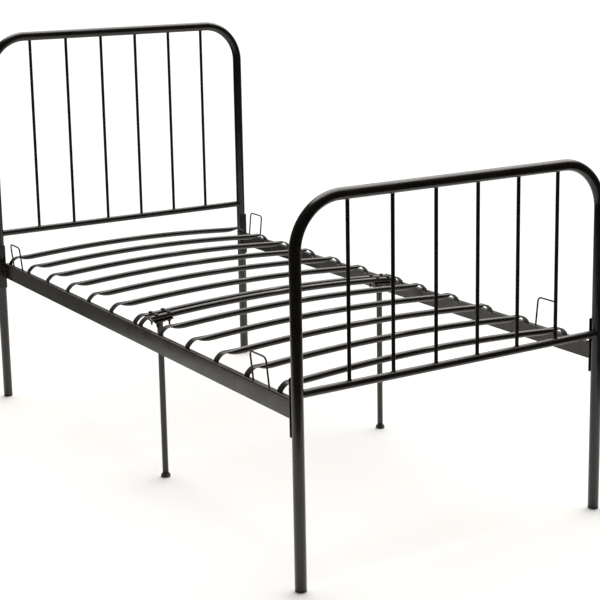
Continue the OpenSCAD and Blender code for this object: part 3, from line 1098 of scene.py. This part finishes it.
@dataclass
class MidLeg:
    """A mid leg: tube, bolted top plate, threaded insert and levelling glide."""

    side: Side
    leg_d: float = 0.018
    leg_wall: float = 0.0012
    bore_depth: float = 0.034  # the open bore reaches past the end of the glide's stem
    plate_t: float = 0.003
    plate_size: float = 0.062
    plate_corner: float = 0.006
    corner_steps: int = 6
    seat: float = 0.00925
    glide_h: float = 0.016
    insert_flange: float = 0.002
    insert_len: float = 0.020
    stem_d: float = 0.008
    stem_len: float = 0.030
    stem_pitch: float = 0.00125
    sides: int = 48

    def __post_init__(self) -> None:
        """Reads the leg's axis from the frame and its tilt from the slats."""
        middle = centre(f"{self.side.label}_mid_leg")
        self.x, self.y = abs(middle.x), middle.y
        arch = Slat("slat_07", True)
        self.tilt = math.asin(self.x / arch.radius)
        reach = arch.radius
        seat_x = reach * math.sin(self.tilt)
        seat_z = arch.arch_z + reach * math.cos(self.tilt)
        self.seat_place = Vector((seat_x, self.y, seat_z))

    def on_slats(self) -> Matrix:
        """The frame of the tubes above the leg: its origin on their centrelines, turned to their slope."""
        return self.side.mirror() @ Matrix.Translation(self.seat_place) @ Matrix.Rotation(self.tilt, 4, "Y")

    def build(self) -> None:
        """Builds every piece of this leg but its fasteners."""
        self.build_tube()
        self.build_plate()
        self.build_insert()
        self.build_glide()

    def build_tube(self) -> None:
        """The leg's tube, with a rolled lower edge and a fillet weld under the plate."""
        low_z = self.glide_h + self.insert_flange
        rim = 0.0005
        radius = self.leg_d / 2
        rings = []
        bore_shrink = self.leg_wall
        steps = ((self.bore_depth, bore_shrink), (0, bore_shrink), (0, rim), (rim / 2, rim / 4), (rim, 0))
        for lift, shrink in steps:
            flat = circle(radius - shrink, self.sides)
            rings.append([Vector((self.x + a, self.y + b, low_z + lift)) for a, b in flat])
        weld = Weld(leg=0.0026, ripples=14)
        underside = self.seat_place.z - (self.seat + self.plate_t) / math.cos(self.tilt)
        for rise, growth in reversed(weld.profile()):
            ring = []
            for i in range(self.sides):
                angle = TURN * i / self.sides
                r = radius + weld.growth(growth, angle)
                dx, dy = r * math.cos(angle), r * math.sin(angle)
                z = underside - (dx + self.x - self.seat_place.x) * math.tan(self.tilt) - rise
                ring.append(Vector((self.x + dx, self.y + dy, z)))
            rings.append(ring)
        shaper = Shaper()
        shaper.skin(rings, self.side.mirror())
        node = f"{self.side.label}_mid_leg"
        hide_under(shaper.make(f"{node}_{COAT.ending}"), [node], "root", COAT)

    def build_plate(self) -> None:
        """The square plate that the two middle tubes are bolted to."""

        def lift(across: float, along: float, depth: float) -> Vector:
            """Lays the plate flat under the tubes."""
            return Vector((across, along, depth - self.seat - self.plate_t))

        shaper = Shaper()
        size = (self.plate_size, self.plate_size)
        rings = plate_rings(size, self.plate_t, self.plate_corner, self.corner_steps, lift)
        shaper.skin(rings, self.on_slats())
        node = f"{self.side.label}_leg_plate"
        hide_under(shaper.make(f"{node}_{COAT.ending}"), [node], "root", COAT)

    def build_insert(self) -> None:
        """The moulded insert in the foot of the leg, with its ribs and its bore."""
        radius, bore = self.leg_d / 2, self.stem_d / 2 + 0.0001
        body_r = radius - self.leg_wall
        flange_z = self.glide_h + self.insert_flange
        profile = [(bore, self.glide_h), (radius - 0.0004, self.glide_h), (radius, self.glide_h + 0.0004)]
        profile += [(radius, flange_z - 0.0003), (radius - 0.0003, flange_z), (body_r - 0.0004, flange_z)]
        for i in range(3):
            base = flange_z + 0.003 + 0.005 * i
            profile += [(body_r - 0.0004, base), (body_r, base + 0.001), (body_r - 0.0004, base + 0.002)]
        top = flange_z + self.insert_len
        profile += [(body_r - 0.0008, top), (bore, top)]
        shaper = Shaper()
        place = self.side.mirror() @ Matrix.Translation((self.x, self.y, 0))
        shaper.turn(profile, self.sides, place, joined=True)
        node = f"{self.side.label}_leg_insert"
        hide_under(shaper.make(f"{node}_{PLASTIC.ending}"), [node], "root", PLASTIC)

    def build_glide(self) -> None:
        """The levelling glide: a moulded foot on a threaded stem."""
        low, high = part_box(f"{self.side.label}_glide")
        base_r = (high.x - low.x) / 2
        base_h = self.glide_h / 2
        profile = [(base_r - 0.0015, 0.0), (base_r - 0.0004, 0.0005)]
        profile += [(base_r, 0.0016), (base_r, base_h - 0.001)]
        profile += [(base_r - 0.0004, base_h - 0.0003), (base_r - 0.0014, base_h)]
        top_r = self.leg_d / 2 - 0.0002
        for i in range(1, 7):
            share = i / 6
            radius = base_r - 0.0014 + (top_r - base_r + 0.0014) * math.sin(TURN / 4 * share)
            profile.append((radius, base_h + (self.glide_h - base_h - 0.0006) * share**1.4))
        profile += [(top_r - 0.0006, self.glide_h), (self.stem_d / 2 - 0.0006, self.glide_h)]
        place = self.side.mirror() @ Matrix.Translation((self.x, self.y, 0))
        rings = [[Vector((x, y, z)) for x, y in circle(radius, self.sides)] for radius, z in profile]
        stem = Thread(self.stem_d, self.stem_pitch, self.sides)
        rings += stem.rings(self.glide_h + 0.0004, self.glide_h + self.stem_len)
        shaper = Shaper()
        shaper.skin(rings, place)
        node = f"{self.side.label}_glide"
        body = f"{node}_body"
        hide_under(shaper.make(f"{node}_{PLASTIC.ending}"), [node], body, PLASTIC)


@dataclass(frozen=True)
class Thread:
    """A screw thread round the Z axis."""

    diameter: float
    pitch: float
    sides: int
    steps_per_turn: int = 6

    def rings(self, low: float, high: float) -> list[Ring]:
        """The thread's rings between two heights.

        Args:
            low: The height where the thread starts.
            high: The height where it ends.

        Returns:
            The rings, with a chamfer at the far end.
        """
        depth = 0.6 * self.pitch
        count = max(2, int((high - low) / self.pitch * self.steps_per_turn))
        found = []
        for i in range(count + 1):
            z = low + (high - low) * i / count
            chamfer = max(0.0, z - high + 0.6 * depth)
            ring = []
            for j in range(self.sides):
                share = j / self.sides
                crest = 0.5 + 0.5 * math.cos(TURN * (z / self.pitch - share))
                radius = self.diameter / 2 - depth * (1 - crest) * 0.8 - chamfer
                angle = TURN * share
                ring.append(Vector((radius * math.cos(angle), radius * math.sin(angle), z)))
            found.append(ring)
        return found


@dataclass
class LegFasteners:
    """The bolts, washers and nuts that hold the two leg plates to the middle tubes."""

    legs: list[MidLeg]
    step_x: float = 0.020
    bolt_d: float = 0.006
    head_d: float = 0.014
    head_h: float = 0.0034
    tail: float = 0.017
    pitch: float = 0.001
    washer_d: float = 0.013
    washer_t: float = 0.0012
    nut_flats: float = 0.010
    nut_t: float = 0.005
    sides: int = 30

    def places(self) -> list[Matrix]:
        """A frame for each bolt: its origin on a tube's centreline and its Z axis along the bolt."""
        gap = abs(centre("slat_07").y - centre("middle_cross_tube").y) / 2
        found = []
        for leg in self.legs:
            for dx in (-self.step_x, self.step_x):
                for dy in (-gap, gap):
                    found.append(leg.on_slats() @ Matrix.Translation((dx, dy, 0)))
        return found

    def build(self) -> None:
        """Builds the bolts, the washers and the nuts, one object for each kind."""
        kinds: dict[str, Callable[[Shaper, Matrix], None]] = {
            "leg_bolts": self.add_bolt,
            "leg_washers": self.add_washer,
            "leg_nuts": self.add_nut,
        }
        for node, add in kinds.items():
            shaper = Shaper()
            for place in self.places():
                add(shaper, place)
            hide_under(shaper.make(f"{node}_{PLATED.ending}"), [node], "root", PLATED)

    def add_bolt(self, shaper: Shaper, place: Matrix) -> None:
        """Adds a mushroom-head bolt.

        Args:
            shaper: Where it is added.
            place: The bolt's frame.
        """
        seat, plate_t = self.legs[0].seat, self.legs[0].plate_t
        tip = -seat - plate_t - self.tail
        rings = Thread(self.bolt_d, self.pitch, self.sides).rings(-(-seat - plate_t + 0.001), -tip)
        rings = [[Vector((p.x, -p.y, -p.z)) for p in ring] for ring in reversed(rings)]
        profile = [(self.bolt_d / 2, -seat - plate_t + 0.001), (self.bolt_d / 2, seat)]
        profile += [(self.head_d / 2 - 0.0004, seat), (self.head_d / 2, seat + 0.0004)]
        for i in range(8):
            angle = TURN / 4 * (0.1 + 0.88 * i / 7)
            height = seat + 0.0004 + (self.head_h - 0.0004) * math.sin(angle)
            profile.append((self.head_d / 2 * math.cos(angle), height))
        rings += [[Vector((x, -y, z)) for x, y in circle(radius, self.sides)] for radius, z in profile]
        shaper.skin(rings, place)

    def add_washer(self, shaper: Shaper, place: Matrix) -> None:
        """Adds a washer under the plate.

        Args:
            shaper: Where it is added.
            place: The bolt's frame.
        """
        top = -self.legs[0].seat - self.legs[0].plate_t
        low = top - self.washer_t
        outer, inner, rim = self.washer_d / 2, self.bolt_d / 2 + 0.0002, 0.0002
        profile = [(inner, low), (outer - rim, low), (outer, low + rim)]
        profile += [(outer, top - rim), (outer - rim, top)]
        shaper.turn(profile + [(inner, top)], self.sides, place, joined=True)

    def add_nut(self, shaper: Shaper, place: Matrix) -> None:
        """Adds a hexagon nut with chamfered corners.

        Args:
            shaper: Where it is added.
            place: The bolt's frame.
        """
        top = -self.legs[0].seat - self.legs[0].plate_t - self.washer_t
        low = top - self.nut_t
        flat_r = self.nut_flats / 2
        cuts = (0.0, 0.0003, 0.0007)
        rings = []
        for z, depth in [(low + c, c) for c in cuts] + [(top - c, c) for c in reversed(cuts)]:
            ring = []
            for i in range(36):
                angle = TURN * i / 36
                off = (angle + TURN / 12) % (TURN / 6) - TURN / 12
                radius = min(flat_r / math.cos(off), flat_r * 0.97 + 1.7 * depth)
                ring.append(Vector((radius * math.cos(angle), radius * math.sin(angle), z)))
            rings.append(ring)
        shaper.skin(rings, place)


# ---------------------------------------------------------------- mattress retainers


@dataclass
class Retainer:
    """A loop of bent wire welded upright on a rail's flange."""

    side: Side
    end: End
    wire_d: float = 0.005
    bend_r: float = 0.012
    lean: float = math.radians(6)
    sides: int = 20

    def build(self) -> None:
        """Builds the loop as one swept wire with a weld at each foot."""
        node = f"{self.end.label}_{self.side.label}_retainer"
        low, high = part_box(node)
        rail_low, rail_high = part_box(f"{self.side.label}_rail")
        width = high.y - low.y - self.wire_d
        height = (high.z - rail_high.z - self.wire_d / 2) / math.cos(self.lean)
        place = Matrix.Translation(((rail_low.x + rail_high.x) / 2, (low.y + high.y) / 2, rail_high.z))
        turned = place @ Matrix.Rotation(self.side.value * self.lean, 4, "Y")
        shaper = Shaper()
        shaper.sweep(self.stations(width, height), ACROSS, turned)
        hide_under(shaper.make(f"{node}_{COAT.ending}"), [node], "root", COAT)

    def stations(self, width: float, height: float) -> list[Station]:
        """The loop's stations in its own plane, from foot to foot.

        Args:
            width: The distance between the legs.
            height: The height of the wire's centreline.

        Returns:
            The stations.
        """
        radius = self.wire_d / 2
        half = []
        for rise, growth in Weld(leg=0.0016).profile():
            half.append(Station(Vector((0, -width / 2, rise)), UP, circle(radius + growth, self.sides)))
        for i in range(13):
            angle = TURN / 4 * i / 12
            y = -width / 2 + self.bend_r * (1 - math.cos(angle))
            z = height - self.bend_r * (1 - math.sin(angle))
            heading = Vector((0, math.sin(angle), math.cos(angle)))
            half.append(Station(Vector((0, y, z)), heading, circle(radius, self.sides)))
        return half + mirrored_half(half, 1)


# ---------------------------------------------------------------- studio


@dataclass
class Studio:
    """White paper floor, a surround that only the camera sees as white, a broad light and the camera."""

    camera_place: Vector = field(default_factory=lambda: Vector((-2.2935, -3.912, 1.593)))
    yaw: float = 0.5562
    pitch: float = 0.2035
    roll: float = -0.018
    focal_mm: float = 90.57
    rise_shift: float = -0.1
    floor_radius: float = 1.65
    surround_colour: str = "#fffaf2"
    backdrop_colour: str = "#ffffff"
    backdrop_level: float = 1.1
    bright_level: float = 0.38
    dark_level: float = 0.05
    bright_facing: float = -0.85
    dark_facing: float = -0.25
    sky_strength: float = 4.2
    lamp_colour: str = "#fffdfa"
    sky_spread: float = math.radians(70)
    lamp_turn: tuple[float, float, float] = (math.radians(-18), math.radians(22), 0)

    def build(self) -> None:
        """Builds the studio."""
        self.build_floor()
        self.build_surround()
        self.build_lights()
        self.build_camera()
        bpy.context.scene.view_settings.view_transform = "Standard"

    def build_floor(self) -> None:
        """The floor: a round sheet of paper that runs out into the white surround."""
        bm = bmesh.new()
        bmesh.ops.create_circle(bm, cap_ends=True, segments=96, radius=self.floor_radius)
        mesh = bpy.data.meshes.new("studio_floor")
        bm.to_mesh(mesh)
        bm.free()
        mesh.materials.append(StudioFloor().material())
        floor = bpy.data.objects.new("studio_floor", mesh)
        bpy.context.scene.collection.objects.link(floor)

    def build_surround(self) -> None:
        """Pale beyond the head of the bed and dark elsewhere, for tubes with dark fronts and pale rims."""
        world = bpy.data.worlds.new("studio_surround")
        bpy.context.scene.world = world
        world.use_nodes = True
        tree = world.node_tree
        tree.nodes.clear()
        ways = add_node(tree, "ShaderNodeTexCoord")
        facing = add_node(
            tree,
            "ShaderNodeVectorMath",
            {"operation": "DOT_PRODUCT"},
            i0=ways.outputs["Generated"],
            i1=Vector((-math.sin(self.yaw), -math.cos(self.yaw), 0.0)),
        )
        dimmed = add_node(
            tree,
            "ShaderNodeMapRange",
            {"interpolation_type": "SMOOTHSTEP"},
            Value=facing.outputs["Value"],
            From_Min=self.bright_facing,
            From_Max=self.dark_facing,
            To_Min=self.bright_level,
            To_Max=self.dark_level,
        )
        seen = add_node(tree, "ShaderNodeLightPath")
        level = add_node(
            tree,
            "ShaderNodeMix",
            {"data_type": "FLOAT"},
            i0=seen.outputs["Is Camera Ray"],
            i2=dimmed.outputs[0],
            i3=self.backdrop_level,
        )
        camera_ray = seen.outputs["Is Camera Ray"]
        tint = blend_colours(tree, camera_ray, self.surround_colour, self.backdrop_colour)
        sky = add_node(tree, "ShaderNodeBackground", Color=tint, Strength=level.outputs[0])
        add_node(tree, "ShaderNodeOutputWorld", Surface=sky.outputs[0])

    def build_lights(self) -> None:
        """A broad, even light from above, a little from the right and from the head."""
        light = bpy.data.lights.new("overhead_silk", "SUN")
        light.energy = self.sky_strength
        light.angle = self.sky_spread
        light.color = linear_rgba(self.lamp_colour)[:3]
        lamp = bpy.data.objects.new("overhead_silk", light)
        lamp.rotation_euler = self.lamp_turn
        bpy.context.scene.collection.objects.link(lamp)

    def build_camera(self) -> None:
        """The camera, at head height beyond the foot of the bed on its left side."""
        ahead = Vector(
            (
                math.sin(self.yaw) * math.cos(self.pitch),
                math.cos(self.yaw) * math.cos(self.pitch),
                -math.sin(self.pitch),
            )
        )
        level = Vector((math.cos(self.yaw), -math.sin(self.yaw), 0))
        above = level.cross(ahead)
        right = level * math.cos(self.roll) + above * math.sin(self.roll)
        upward = above * math.cos(self.roll) - level * math.sin(self.roll)
        turned = Matrix((right, upward, -ahead)).transposed().to_4x4()
        data = bpy.data.cameras.new("camera")
        data.lens = self.focal_mm
        data.shift_y = self.rise_shift
        data.clip_end = 200
        camera = bpy.data.objects.new("camera", data)
        camera.matrix_world = Matrix.Translation(self.camera_place) @ turned
        bpy.context.scene.collection.objects.link(camera)
        bpy.context.scene.camera = camera


def main() -> None:
    """Builds every sub-assembly, then the studio."""
    logging.basicConfig(level=logging.INFO, format="%(name)s: %(message)s")
    for end in End:
        BedEnd(end).build()
    for side in Side:
        SideRail(side).build()
    for number in range(1, SLAT_COUNT + 1):
        Slat(f"slat_{number:02d}", number == MIDDLE_SLAT).build()
    Slat("middle_cross_tube", True).build()
    legs = [MidLeg(side) for side in Side]
    for leg in legs:
        leg.build()
    LegFasteners(legs).build()
    for side in Side:
        for end in End:
            Retainer(side, end).build()
    Studio().build()


if __name__ == "__main__":
    main()
